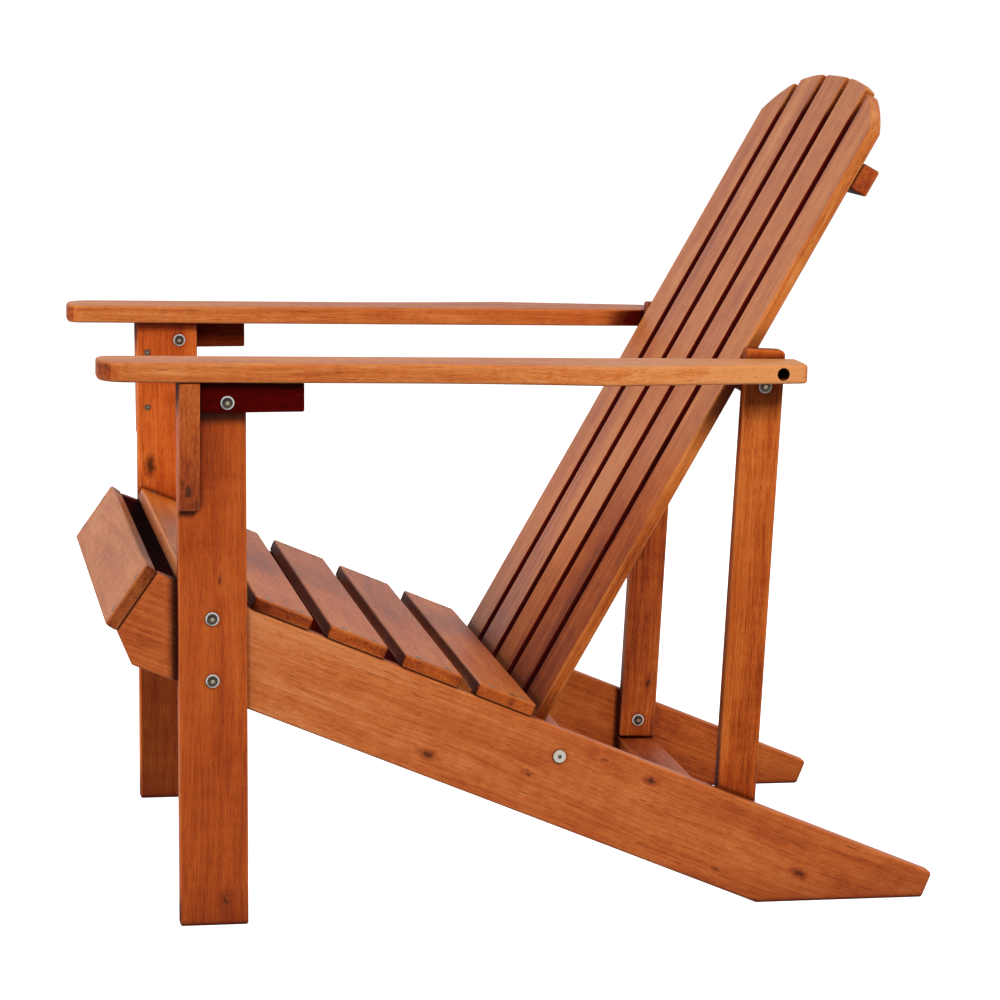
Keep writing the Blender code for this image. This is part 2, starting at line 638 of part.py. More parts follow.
# ---------------------------------------------------------------- bolted joints
def fasten_side(side, sign):
    for level, (y, z) in LEG_BOLTS.items():
        bolt_and_washer(f"leg_bolt_{level}_{side}", sign * LEG_OUTER_X, y, z, sign, THROUGH_SHANK)

    y, z = CLEAT_BOLT
    bolt_and_washer(f"cleat_bolt_{side}", sign * (BLOCK_INNER_X + BOARD), y, z, sign, CLEAT_SHANK)
    washer_x = sign * (LEG_INNER_X - FIT_GAP)
    washer(f"cleat_nut_washer_{side}", (washer_x, y, z), (-sign, 0, 0), hole=SLEEVE_RADIUS + FIT_GAP)
    nut_x = washer_x - sign * (WASHER_THICKNESS + FIT_GAP)
    sleeve_nut(f"cleat_nut_{side}", (nut_x, y, z), (-sign, 0, 0))

    y, z = FOOT_BOLT
    bolt_and_washer(f"upright_foot_bolt_{side}", sign * UPRIGHT_INNER_X, y, z, -sign, THROUGH_SHANK)
    y, z = BATTEN_BOLT
    bolt_and_washer(f"middle_batten_bolt_{side}", sign * UPRIGHT_OUTER_X, y, z, sign, BATTEN_SHANK)
    y, z = ARM_BOLT
    bolt_and_washer(
        f"arm_rear_bolt_{side}", sign * ARM_SEAT_X, y, z, sign, ARM_SHANK, COUNTERSUNK_WASHER_RADIUS)
    seat = (sign * (SEAT_HALF_WIDTH + FIT_GAP), *RAIL_BOLT)
    connector_bolt(f"rail_bolt_{side}", seat, (sign, 0, 0), CONNECTOR_SHANK)


# ---------------------------------------------------------------- build
clear_scene()
PARTS = new_collection("adirondack_chair")
CUTTERS = new_collection("cutters")
RAIL_WOOD = make_material("rail_wood", (0.46, 0.17, 0.065), 0.52)
LEG_WOOD = make_material("leg_wood", (0.47, 0.18, 0.07), 0.52)
UPRIGHT_WOOD = make_material("upright_wood", (0.43, 0.16, 0.06), 0.55)
ARM_WOOD = make_material("arm_wood", (0.52, 0.23, 0.11), 0.5)
SEAT_WOOD = make_material("seat_wood", (0.46, 0.20, 0.11), 0.5)
BACK_WOOD = make_material("back_wood", (0.49, 0.21, 0.11), 0.5)
STEEL = make_material("bolt_steel", (0.42, 0.40, 0.36), 0.3, 1.0)
ZINC = make_material("washer_zinc", (0.72, 0.70, 0.64), 0.28, 1.0)

for SIDE, SIGN in SIDES.items():
    side_rail(SIDE, SIGN)
    front_leg(SIDE, SIGN)
    rear_upright(SIDE, SIGN)
    arm(SIDE, SIGN)
    arm_corbel(SIDE, SIGN)
    arm_cleat(SIDE, SIGN)
    fasten_side(SIDE, SIGN)
rear_stretcher()
front_apron()
for NUMBER in range(1, SEAT_SLATS + 1):
    seat_slat(NUMBER)
for NUMBER in range(1, BACK_SLATS + 1):
    back_slat(NUMBER)
lower_batten()
middle_batten()
back_batten("upper_back_batten", UPPER_BATTEN_AT, UPPER_BATTEN_DEPTH, UPPER_BATTEN_HALF_WIDTH)
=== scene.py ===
"""Looks for the adirondack chair: oiled acacia boards, plated bolts and wood screws, in a white studio.

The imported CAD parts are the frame. Every board gets a solid wood material with growth rings, streaks, pores
and knots, laid out in the board's own length, width and thickness. Lengths are in metres.
"""

import math

import bmesh
import bpy
from mathutils import Matrix, Vector


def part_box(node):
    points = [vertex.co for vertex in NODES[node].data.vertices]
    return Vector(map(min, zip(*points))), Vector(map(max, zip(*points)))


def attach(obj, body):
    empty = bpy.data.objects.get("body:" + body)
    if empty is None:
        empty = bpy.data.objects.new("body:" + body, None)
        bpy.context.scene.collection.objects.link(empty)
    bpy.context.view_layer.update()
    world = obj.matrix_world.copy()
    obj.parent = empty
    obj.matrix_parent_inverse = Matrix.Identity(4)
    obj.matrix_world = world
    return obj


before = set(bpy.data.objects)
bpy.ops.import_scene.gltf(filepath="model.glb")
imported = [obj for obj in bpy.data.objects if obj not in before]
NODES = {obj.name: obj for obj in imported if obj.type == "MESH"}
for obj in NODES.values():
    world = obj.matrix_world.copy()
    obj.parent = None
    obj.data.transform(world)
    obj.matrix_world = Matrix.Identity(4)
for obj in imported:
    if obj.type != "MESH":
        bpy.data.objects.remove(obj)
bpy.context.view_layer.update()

# ---------------------------------------------------------------- how the boards lie
RAIL_ANGLE = math.radians(22.45)
ARM_SLOPE = math.radians(0.97)
UPRIGHT_LEAN = math.radians(3.18)
BACK_LEAN = math.radians(29.79)
APRON_LEAN = math.radians(35.1)

X, Y, Z = Vector((1, 0, 0)), Vector((0, 1, 0)), Vector((0, 0, 1))
# Each family's (grain, width, thickness) directions, and the angle they turn by about X.
LIE = {
    "side_rail": ((Y, Z, X), -RAIL_ANGLE),
    "front_leg": ((Z, Y, X), 0.0),
    "rear_upright": ((Z, Y, X), -UPRIGHT_LEAN),
    "arm_cleat": ((Y, Z, X), 0.0),
    "arm_corbel": ((Z, Y, X), 0.0),
    "arm": ((Y, X, Z), -ARM_SLOPE),
    "seat_slat": ((X, Y, Z), -RAIL_ANGLE),
    "front_apron": ((X, Z, Y), -APRON_LEAN),
    "back_slat": ((Z, X, Y), -BACK_LEAN),
    "lower_back_batten": ((X, Z, Y), -BACK_LEAN),
    "middle_back_batten": ((X, Z, Y), -BACK_LEAN),
    "upper_back_batten": ((X, Z, Y), -BACK_LEAN),
    "rear_stretcher": ((X, Y, Z), 0.0),
}


def family(node):
    """The longest family name that the node's name starts with, so an arm_cleat isn't an arm."""
    return max((key for key in LIE if node.startswith(key)), key=len)


def board_axes(node):
    """Matrix whose columns are the board's grain, width and thickness directions."""
    axes, turn = LIE[family(node)]
    turned = [Matrix.Rotation(turn, 3, "X") @ axis for axis in axes]
    if turned[0].cross(turned[1]).dot(turned[2]) < 0:
        turned[1] = -turned[1]
    return Matrix(turned).transposed()


def board_centre(node):
    low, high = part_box(node)
    return (low + high) / 2


def dress(node, material):
    """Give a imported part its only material."""
    NODES[node].data.materials.clear()
    NODES[node].data.materials.append(material)


# ---------------------------------------------------------------- node helpers
AO_SAMPLES = 4
MIX_FACTOR, MIX_FIRST, MIX_SECOND, MIX_RESULT = 0, 6, 7, 2      # the sockets of a Mix node for colours


class Graph:
    """Short calls for making and linking the nodes of one tree. Colours are plain (red, green, blue)."""

    def __init__(self, tree):
        self.tree = tree

    def add(self, kind, inputs=None, **settings):
        node = self.tree.nodes.new(kind)
        for key, value in settings.items():
            setattr(node, key, value)
        for key, value in (inputs or {}).items():
            self.feed(node.inputs[key], value)
        return node

    def feed(self, socket, value):
        if isinstance(value, bpy.types.NodeSocket):
            self.tree.links.new(value, socket)
        elif socket.type == "RGBA":
            socket.default_value = (*value, 1)
        else:
            socket.default_value = value

    def math(self, operation, *operands, clamp=False):
        return self.add(
            "ShaderNodeMath", dict(enumerate(operands)), operation=operation, use_clamp=clamp).outputs[0]

    def weighted(self, start, parts):
        """The start value plus each (value, weight) part's product."""
        for value, weight in parts:
            start = self.math("MULTIPLY_ADD", value, weight, start)
        return start

    def vector(self, operation, *operands, output="Vector"):
        return self.add("ShaderNodeVectorMath", dict(enumerate(operands)), operation=operation).outputs[output]

    def dot(self, first, second):
        return self.vector("DOT_PRODUCT", first, second, output="Value")

    def length(self, vector):
        return self.vector("LENGTH", vector, output="Value")

    def separate(self, vector):
        return self.add("ShaderNodeSeparateXYZ", {0: vector}).outputs

    def combine(self, x, y, z):
        return self.add("ShaderNodeCombineXYZ", {"X": x, "Y": y, "Z": z}).outputs[0]

    def place(self):
        """The surface point. Every piece's origin is the frame's, so this is its place in the chair."""
        return self.add("ShaderNodeTexCoord").outputs["Object"]

    def noise(self, vector, scale, detail=3.0, roughness=0.5, output="Fac"):
        return self.add("ShaderNodeTexNoise", {
            "Vector": vector, "Scale": scale, "Detail": detail, "Roughness": roughness}).outputs[output]

    def stretched(self, vector, scales, detail, roughness=0.5):
        """Noise with its own scale, per metre, in each direction."""
        return self.noise(self.vector("MULTIPLY", vector, scales), 1.0, detail, roughness)

    def swirl(self, vector, scale, detail, roughness=0.5):
        """A noise vector whose mean is zero."""
        return self.vector("SUBTRACT", self.noise(vector, scale, detail, roughness, "Color"), (0.5, 0.5, 0.5))

    def crevice(self, distance, low, high):
        """1 in tight places and 0 in the open."""
        light = self.add("ShaderNodeAmbientOcclusion", {"Distance": distance}, samples=AO_SAMPLES).outputs["AO"]
        return self.remap(light, low, high, 1.0, 0.0)

    def remap(self, value, low, high, new_low=0.0, new_high=1.0, smooth=True):
        return self.add("ShaderNodeMapRange", {
            "Value": value, "From Min": low, "From Max": high, "To Min": new_low, "To Max": new_high},
            interpolation_type="SMOOTHSTEP" if smooth else "LINEAR").outputs[0]

    def mix(self, factor, first, second, blend="MIX"):
        node = self.add("ShaderNodeMix", data_type="RGBA", blend_type=blend)
        for place, value in ((MIX_FACTOR, factor), (MIX_FIRST, first), (MIX_SECOND, second)):
            self.feed(node.inputs[place], value)
        return node.outputs[MIX_RESULT]

    def ramp(self, value, stops):
        node = self.add("ShaderNodeValToRGB", {"Fac": value})
        elements = node.color_ramp.elements
        elements[0].position, elements[0].color = stops[0][0], (*stops[0][1], 1)
        elements[1].position, elements[1].color = stops[-1][0], (*stops[-1][1], 1)
        for position, color in stops[1:-1]:
            elements.new(position).color = (*color, 1)
        return node.outputs[0]

    def bump(self, height, strength, distance):
        return self.add("ShaderNodeBump", {
            "Height": height, "Strength": strength, "Distance": distance}).outputs[0]


def new_material(name):
    """A material, with its graph and its shader's inputs."""
    material = bpy.data.materials.new(name)
    material.use_nodes = True
    return material, Graph(material.node_tree), material.node_tree.nodes["Principled BSDF"].inputs


def new_group(name, inputs, outputs):
    """A node group, with its graph and its input values. Inputs and outputs are {name: kind}."""
    tree = bpy.data.node_groups.new(name, "ShaderNodeTree")
    for direction, sockets in (("INPUT", inputs), ("OUTPUT", outputs)):
        for key, kind in sockets.items():
            tree.interface.new_socket(key, in_out=direction, socket_type=f"NodeSocket{kind}")
    g = Graph(tree)
    return tree, g, g.add("NodeGroupInput").outputs


# ---------------------------------------------------------------- wood
WOOD_DARK = (0.115, 0.016, 0.004)
WOOD_RED = (0.31, 0.050, 0.009)
WOOD_BODY = (0.50, 0.105, 0.018)
WOOD_WARM = (0.62, 0.165, 0.034)
WOOD_PALE = (0.72, 0.26, 0.080)
WOOD_STOPS = [(0.0, WOOD_DARK), (0.25, WOOD_RED), (0.50, WOOD_BODY), (0.74, WOOD_WARM), (1.0, WOOD_PALE)]
MEAN_LEVEL = 0.55                   # where wood of tone 0 lies between the stops
KNOT_BLACK = (0.045, 0.010, 0.004)
PAINTED_SHADE_MAROON = (0.15, 0.01, 0.01)      # painted shade: darkens the wood to deep maroon in gaps and tight places
DEEP_SHADE = (0.45, 0.28, 0.22)     # painted shade that dims the wood a little all round a corner

# A distance, then how open a place is where the painted shade is full and where it ends.
CORNER_SHADE = (0.10, 0.30, 0.75)
NEIGHBOUR_SHADE = (0.045, 0.78, 0.97)
JOINT_SHADE = (0.006, 0.58, 0.97)

SEED_SHIFT = (3.7, 1.3, 2.1)        # each board is cut from its own place in the noise
GRAIN_WANDER = 0.030
WANDER_SCALES = (2.4, 9.0, 9.0)
RINGS_PER_METRE = 150.0
RING_DRIFT = 0.6                    # how fast the rings change along the grain
KNOT_PUSH = 0.015                   # how far they bend round a knot
KNOT_SQUASH = (0.45, 1.0, 0.12)     # a knot is long along the grain and goes through the board
KNOT_FALLOFF = 1.6
# Scales per metre along, across and through the board, then detail and, where it isn't 0.5, roughness.
STREAKS = ((9.0, 360.0, 360.0), 5.0, 0.80)
BANDS = ((1.6, 38.0, 38.0), 3.0, 0.55)
CLOUDS = ((6.0, 17.0, 17.0), 3.0, 0.6)
RIPPLES = ((75.0, 20.0, 20.0), 2.0)
FIBRES = ((150.0, 850.0, 850.0), 2.0, 0.6)
FLECKS = ((34.0, 420.0, 420.0), 2.0)
PORES = ((60.0, 1050.0, 1050.0), 2.0)


def knot_group():
    """How strongly a point is in a knot: 1 at its heart, and falling away more slowly along the grain."""
    tree, g, into = new_group(
        "knot_field", {"Grain": "Vector", "Heart": "Vector", "Radius": "Float", "Sum": "Float"},
        {"Sum": "Float"})
    offset = g.vector("SUBTRACT", into["Grain"], into["Heart"])
    share = g.math("DIVIDE", g.length(g.vector("MULTIPLY", offset, KNOT_SQUASH)), into["Radius"])
    falloff = g.math("EXPONENT", g.math("MULTIPLY", g.math("POWER", share, KNOT_FALLOFF), -1.0))
    g.add("NodeGroupOutput", {"Sum": g.math("ADD", falloff, into["Sum"])})
    return tree


def ring_radius(g, grain, pith, knots):
    """Distance from a pith that lies beside the board and drifts from it along its length."""
    place, pith = g.separate(grain), g.separate(pith)
    drift = g.math("MULTIPLY", place["X"], pith["X"])
    across = g.math("SUBTRACT", g.math("ADD", place["Y"], drift), pith["Y"])
    through = g.math("SUBTRACT", place["Z"], pith["Z"])
    radius = g.math("SQRT", g.math(
        "ADD", g.math("MULTIPLY", across, across), g.math("MULTIPLY", through, through)))
    return g.math("ADD", radius, g.math("MULTIPLY", knots, KNOT_PUSH))


def wood_group():
    """Acacia in a board's own metres: x along the grain, y across it and z through the thickness."""
    tree, g, into = new_group(
        "acacia", {
            "Grain": "Vector", "Pith": "Vector", "Knots": "Float", "Seed": "Float", "Tone": "Float",
            "Contrast": "Float", "Tint": "Color", "End": "Float", "WearAndHighlight": "Float", "Narrow": "Float",
            "EndTone": "Float", "PaintedShade": "Float", "Dull": "Float"},
        {"Color": "Color", "Roughness": "Float", "Height": "Float"})

    shift = g.combine(*(g.math("MULTIPLY", into["Seed"], step) for step in SEED_SHIFT))
    seeded = g.vector("ADD", into["Grain"], shift)
    wander = g.swirl(g.vector("MULTIPLY", seeded, WANDER_SCALES), 1.0, 2.0)
    grain = g.vector("ADD", into["Grain"], g.vector("MULTIPLY", wander, (0.0, GRAIN_WANDER, GRAIN_WANDER)))
    wandering = g.vector("ADD", grain, shift)

    ring_place = g.combine(
        g.math("MULTIPLY", ring_radius(g, grain, into["Pith"], into["Knots"]), RINGS_PER_METRE),
        into["Seed"], g.math("MULTIPLY", g.separate(grain)["X"], RING_DRIFT))
    rings = g.noise(ring_place, 1.0, 3.0, 0.62)
    streaks = g.stretched(wandering, *STREAKS)
    layers = (
        (rings, 0.60), (streaks, 1.15), (g.stretched(wandering, *BANDS), 0.45),
        (g.stretched(seeded, *CLOUDS), 0.65), (g.stretched(wandering, *RIPPLES), 0.25),
        (g.stretched(seeded, *FIBRES), 0.45))
    figure = g.weighted(0.0, [(g.math("SUBTRACT", layer, 0.5), weight) for layer, weight in layers])
    level = g.weighted(g.math("ADD", into["Tone"], MEAN_LEVEL), [
        (figure, into["Contrast"]), (into["End"], into["EndTone"])])
    color = g.mix(1.0, g.ramp(level, WOOD_STOPS), into["Tint"], "MULTIPLY")

    pores = g.remap(g.stretched(seeded, *PORES), 0.58, 0.72)
    flecks = g.remap(g.stretched(wandering, *FLECKS), 0.66, 0.76)
    rim = g.remap(into["Knots"], 0.20, 0.55)
    heart = g.remap(into["Knots"], 0.55, 0.90)
    # The rounded edges are paled: partly wear, partly a painted highlight.
    for strength, share, paint in (
            (pores, 0.45, WOOD_DARK), (flecks, 0.60, WOOD_DARK), (rim, 0.60, WOOD_RED),
            (heart, 0.85, KNOT_BLACK), (into["WearAndHighlight"], 0.30, WOOD_PALE)):
        color = g.mix(g.math("MULTIPLY", strength, share), color, paint)

    # Painted shade: the wood is dimmed round corners, and darkened to deep maroon where a narrow face is close
    # to another board, in tight joints and where the board is given painted shade.
    color = g.mix(g.crevice(*CORNER_SHADE), color, DEEP_SHADE, "MULTIPLY")
    between = g.math("MULTIPLY", g.crevice(*NEIGHBOUR_SHADE), into["Narrow"])
    joints = g.math("MULTIPLY", g.crevice(*JOINT_SHADE), 0.8)
    painted_shade_share = g.math("MAXIMUM", g.math("MAXIMUM", between, joints), into["PaintedShade"])
    color = g.mix(painted_shade_share, color, PAINTED_SHADE_MAROON, "MULTIPLY")

    rough = g.weighted(0.40, [
        (streaks, 0.16), (pores, 0.10), (into["End"], 0.14), (g.math("MAXIMUM", painted_shade_share, into["Dull"]), 0.40)])
    height = g.weighted(0.0, [(streaks, 0.5), (pores, -0.8), (heart, -0.6)])
    g.add("NodeGroupOutput", {"Color": color, "Roughness": rough, "Height": height})
    return tree


KNOT_FIELD = knot_group()
ACACIA = wood_group()
KNOT_RAGGEDNESS = (0.020, 0.009, 0.0)
WOOD_SPECULAR = 0.28
WOOD_COAT = 0.10
WOOD_COAT_ROUGHNESS = 0.35
OPENING = 0.030                     # how gradually a covered side opens out
STEADY = (0.0, 1.0, 0.0)            # a fade that changes nothing


def knots_at(g, grain, knots):
    """How strongly the point is in the board's knots, whose outlines are ragged."""
    if not knots:
        return 0.0
    ragged = g.vector("MULTIPLY_ADD", g.swirl(grain, 130.0, 3.0, 0.65), KNOT_RAGGEDNESS, grain)
    total = 0.0
    for along, across, radius in knots:
        total = g.add("ShaderNodeGroup", {
            "Grain": ragged, "Heart": (along, across, 0.0), "Radius": radius, "Sum": total},
            node_tree=KNOT_FIELD).outputs["Sum"]
    return total


def wood(node, seed, tone=0.0, tint=(1, 1, 1), contrast=1.0, pith=(0.05, 0.02, -0.08), knots=(),
         fade=STEADY, dull=0.0, end_fade=STEADY, end_tone=-0.10, painted_shade=0.0, gloss=1.0, snug=1.0,
         covered=(), open_from=0.0):
    """The wood of one board, in metres from its centre.

    tone: the wood's lightness. tint: a colour that multiplies it. contrast: how strong its figure is.
    pith: (drift, across, through) of the tree's centre. knots: (along, across, radius) of each.
    fade, end_fade: (from, to, change) by which the tone drifts along the grain. On some boards this is painted
    shade.
    dull: how dull the board grows over its fade. gloss: how much it shines.
    end_tone: how much lighter the end grain is.
    painted_shade: how far the whole board is darkened to deep maroon as painted shade.
    snug: how much painted shade darkens a narrow face where it is close to another board.
    covered: the sides, as signs of X, that get painted shade because they are covered or have a close
    neighbour, up to open_from along the grain.
    """
    material, g, shader = new_material(node + "_wood")
    axes = board_axes(node)
    grain = g.add("ShaderNodeMapping", {
        "Vector": g.place(), "Location": board_centre(node), "Rotation": axes.to_euler()},
        vector_type="TEXTURE").outputs[0]

    facing = g.add("ShaderNodeNewGeometry").outputs["Normal"]
    end = g.remap(g.math("ABSOLUTE", g.dot(facing, axes.col[0])), 0.3, 0.8)
    flat = g.math("ABSOLUTE", g.dot(facing, axes.col[2]))
    narrow = g.remap(flat, 0.45, 0.90, snug, 0.0)
    # Pale edges, partly wear and partly a painted highlight, are 1 on the rounded edges and 0 on the flat
    # faces.
    wear_and_highlight = g.math("MULTIPLY", g.math("MULTIPLY", flat, g.math("SUBTRACT", 1.0, flat)), 4.0, clamp=True)

    along = g.separate(grain)["X"]
    faded = g.remap(along, fade[0], fade[1])
    tone = g.weighted(tone, [(faded, fade[2]), (g.remap(along, end_fade[0], end_fade[1]), end_fade[2])])
    for sign in covered:
        turned = g.remap(g.math("MULTIPLY", g.dot(facing, X), sign), 0.20, 0.50)
        under = g.remap(along, open_from - OPENING, open_from, 1.0, 0.0)
        painted_shade = g.math("MULTIPLY_ADD", turned, under, painted_shade)

    board = g.add("ShaderNodeGroup", {
        "Grain": grain, "Pith": pith, "Knots": knots_at(g, grain, knots), "Seed": seed, "Tone": tone,
        "Contrast": contrast, "Tint": tint, "End": end, "WearAndHighlight": wear_and_highlight, "Narrow": narrow,
        "EndTone": end_tone, "PaintedShade": painted_shade, "Dull": g.math("MULTIPLY", faded, dull)},
        node_tree=ACACIA).outputs
    g.feed(shader["Base Color"], board["Color"])
    g.feed(shader["Roughness"], board["Roughness"])
    g.feed(shader["Normal"], g.bump(board["Height"], 0.35, 0.0004))
    shader["Specular IOR Level"].default_value = WOOD_SPECULAR * gloss
    shader["Coat Weight"].default_value = WOOD_COAT * gloss
    shader["Coat Roughness"].default_value = WOOD_COAT_ROUGHNESS
    dress(node, material)


# ---------------------------------------------------------------- how each board differs
BACK_LOW, BACK_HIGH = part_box("back_slat_3")
HALF_BACK = (BACK_HIGH - BACK_LOW).z / 2 / math.cos(BACK_LEAN)      # half the middle back slat's length
CROWN = HALF_BACK - 0.025           # above this the back slats' arched tops stand clear of each other
SEAT_END = (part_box("seat_slat_5")[1].y - board_centre("side_rail_left").y) / math.cos(RAIL_ANGLE)

FAMILY_LOOKS = {
    # The rails' inner faces are darkened up to the seat's end: painted shade under the seat.
    "side_rail": {"tone": 0.03, "tint": (1.0, 0.98, 1.1), "snug": 0.5, "open_from": SEAT_END},
    "front_leg": {"tone": -0.04, "tint": (0.92, 0.72, 0.50), "contrast": 0.85},
    "rear_upright": {"tone": -0.02, "tint": (1.0, 0.95, 0.85)},
    # The cleats are darkened to deep maroon all over: painted shade under the arms.
    "arm_cleat": {"tone": -0.10, "painted_shade": 0.75, "gloss": 0.4},
    "arm_corbel": {"tone": -0.06, "tint": (0.95, 0.85, 0.75)},
    "arm": {"tone": 0.14, "tint": (1.04, 1.12, 1.2), "end_tone": -0.48},
    "seat_slat": {
        "tone": -0.02, "tint": (1.03, 1.0, 0.78), "end_tone": -0.34, "fade": (0.02, 0.26, 0.13), "snug": 0.85},
    "front_apron": {"tone": 0.06, "tint": (0.82, 0.98, 1.2), "end_tone": -0.34},
    # The back slats' sides that face a neighbour are darkened below the crown: painted shade in the gaps.
    "back_slat": {
        "tone": 0.06, "tint": (0.97, 1.12, 1.15), "end_tone": 0.12, "covered": (-1, 1), "open_from": CROWN},
    "lower_back_batten": {"tone": -0.12},
    "middle_back_batten": {"tone": -0.12},
    "upper_back_batten": {"tone": -0.12, "tint": (0.9, 0.8, 0.8)},
    "rear_stretcher": {"tone": -0.22, "tint": (0.9, 0.9, 1.0)},
}
# A board's own look goes before its family's. The largest knots lie where the real boards have them.
BOARD_LOOKS = {
    # Its front end is darker: painted shadow of the front leg.
    "side_rail_left": {
        "tone": 0.24, "fade": (-0.30, 0.0, -0.14), "end_fade": (-0.33, -0.42, -0.26), "covered": (-1,),
        "knots": (
            (-0.0975, -0.0539, 0.0060), (0.0080, -0.0351, 0.0035), (0.1347, 0.0043, 0.0055),
            (0.0799, 0.0069, 0.0028), (0.3200, -0.0312, 0.0055), (0.2358, -0.0583, 0.0030),
            (0.0915, -0.1023, 0.0028))},
    # Its front part is darker: painted shade behind the apron.
    "side_rail_right": {
        "tone": 0.15, "tint": (1.0, 0.94, 0.86), "fade": (0.05, 0.30, -0.30),
        "end_fade": (-0.24, -0.32, -0.65), "covered": (1,),
        "knots": ((0.1022, -0.0506, 0.0050), (0.3728, 0.0101, 0.0035))},
    # Darker toward the top: painted shade under the cleat.
    "front_leg_left": {"fade": (0.15, 0.28, -0.16), "knots": (
        (0.0771, -0.0075, 0.0036), (-0.1116, 0.0008, 0.0020), (-0.2560, -0.0106, 0.0050),
        (0.1463, 0.0275, 0.0030))},
    "front_leg_right": {
        "tone": 0.04, "tint": (1.1, 0.85, 0.60), "contrast": 1.1, "knots": ((0.1130, 0.0209, 0.0075),)},
    "rear_upright_left": {"fade": (0.02, -0.20, -0.12), "gloss": 0.3},
    "rear_upright_right": {
        "tone": -0.10, "tint": (0.9, 0.8, 0.7), "contrast": 1.3, "knots": ((-0.1932, -0.0094, 0.0050),)},
    # The near cleat is darker still: partly a darker board, partly painted shade under the arm.
    "arm_cleat_left": {"painted_shade": 1.0, "gloss": 0.3},
    "arm_corbel_left": {
        "contrast": 1.2, "fade": (-0.01, -0.05, -0.22), "knots": ((-0.0467, 0.0011, 0.0060),)},
    "arm_left": {"tone": 0.15, "pith": (0.02, 0.06, -0.05), "fade": (0.05, 0.32, 0.36)},
    "arm_right": {"tone": 0.23, "pith": (-0.03, -0.04, -0.07), "fade": (-0.30, 0.10, -0.20)},
    # Lighter all over: painted light that lifts the near leg's shade.
    "seat_slat_1": {"tone": 0.14, "snug": 0.0},
    "seat_slat_2": {"knots": ((0.0669, 0.0081, 0.0040),)},
    "seat_slat_3": {"tone": -0.03, "knots": ((0.0825, -0.0067, 0.0035),)},
    "seat_slat_5": {"tone": 0.02, "knots": ((0.2960, 0.0060, 0.0055), (-0.2012, -0.0134, 0.0030))},
    "back_slat_1": {"tone": 0.08, "covered": (1,)},
    # Back slats 2 to 5 are darker toward the bottom: painted shade on the lower back.
    "back_slat_2": {"tone": 0.03, "contrast": 1.15, "fade": (-0.10, -0.35, -0.08), "knots": (
        (0.1841, -0.0253, 0.0040), (-0.2231, 0.0236, 0.0034))},
    "back_slat_3": {
        "tone": 0.08, "fade": (-0.10, -0.30, -0.16), "dull": 0.8, "knots": ((0.1149, -0.0379, 0.0020),)},
    "back_slat_4": {
        "tone": 0.05, "fade": (-0.02, -0.22, -0.28), "dull": 1.0, "knots": ((0.1316, 0.0158, 0.0022),)},
    "back_slat_5": {
        "tone": 0.02, "contrast": 1.1, "fade": (0.02, -0.16, -0.28), "dull": 1.0, "gloss": 0.8, "snug": 0.5,
        "covered": (-1,), "knots": ((-0.1495, -0.0380, 0.0045),)},
}
SEED_STEP = 1.618

BOARDS = sorted(node for node in NODES if "bolt" not in node and "nut" not in node)
for index, node in enumerate(BOARDS):
    wood(node, index * SEED_STEP, **{**FAMILY_LOOKS[family(node)], **BOARD_LOOKS.get(node, {})})


# ---------------------------------------------------------------- metal
# Painted shade in the corners of washers and connectors.
PAINTED_SHADE_CORNERS = (0.02, 0.014, 0.010)
RECESS = (0.0035, 0.40, 0.90)       # as for the wood's shade
PATCHES_PER_METRE = 400.0
PATCH_SHADE = 0.72
SCRATCHES_PER_METRE = 2600.0


def metal(name, color, roughness, metallic, recess=PAINTED_SHADE_CORNERS):
    """Metal with faint cloudy patches and fine scratches. Its recesses and corners get a painted colour:
    painted shade where it is dark, a painted glint where it is bright.
    """
    material, g, shader = new_material(name)
    place = g.place()
    patches = g.noise(place, PATCHES_PER_METRE)
    plate = g.mix(patches, tuple(channel * PATCH_SHADE for channel in color), color)
    g.feed(shader["Base Color"], g.mix(g.crevice(*RECESS), plate, recess))
    g.feed(shader["Roughness"], g.remap(patches, 0.3, 0.7, roughness - 0.06, roughness + 0.1, smooth=False))
    g.feed(shader["Normal"], g.bump(g.noise(place, SCRATCHES_PER_METRE, 2.0), 0.15, 0.0001))
    shader["Metallic"].default_value = metallic
    return material


# The dark bolts and screws have bright sockets: a painted glint. The washers and connectors have painted shade
# in their corners.
HEAD_STEEL = metal("black_steel", (0.16, 0.14, 0.10), 0.30, 0.9, recess=(0.95, 0.80, 0.60))
WASHER_ZINC = metal("bright_zinc", (1.0, 0.99, 0.96), 0.34, 0.3)
CONNECTOR_ZINC = metal("warm_zinc", (0.93, 0.86, 0.74), 0.36, 0.4)
SCREW_STEEL = metal("screw_steel", (0.20, 0.16, 0.11), 0.36, 0.7, recess=(0.85, 0.74, 0.58))


def finish(node):
    if "washer" in node or "barrel" in node:
        return WASHER_ZINC
    if node.startswith("rail_bolt"):
        return CONNECTOR_ZINC
    return HEAD_STEEL


for node in NODES:
    if node not in BOARDS:
        dress(node, finish(node))


# ---------------------------------------------------------------- wood screws
SCREW_RADIUS = 0.0036
SCREW_SIDES = 32
CROSS_ARM = 0.0019                  # half the length of the recess
CROSS_HALF_WIDTH = 0.00055
SLAT_HALF_THICKNESS = 0.0070
BATTEN_DEPTHS = {"upper": 0.020, "middle": 0.042, "lower": 0.042}
BATTEN_SCREW_ASIDE = 0.022          # from the middle of each back slat
CORBEL_SCREW_IN = 0.012             # from the corbel's front edge
CORBEL_SCREW_UP = 0.0325            # the lower screw, from the corbel's bottom
CORBEL_SCREW_DOWN = 0.0355          # the upper screw, from its top


def cross_radius(angle):
    """Distance from the middle of a cross recess to its outline."""
    turn = (angle + math.pi / 4) % (math.pi / 2) - math.pi / 4
    return min(CROSS_ARM / math.cos(turn), CROSS_HALF_WIDTH / max(abs(math.sin(turn)), 0.0001))


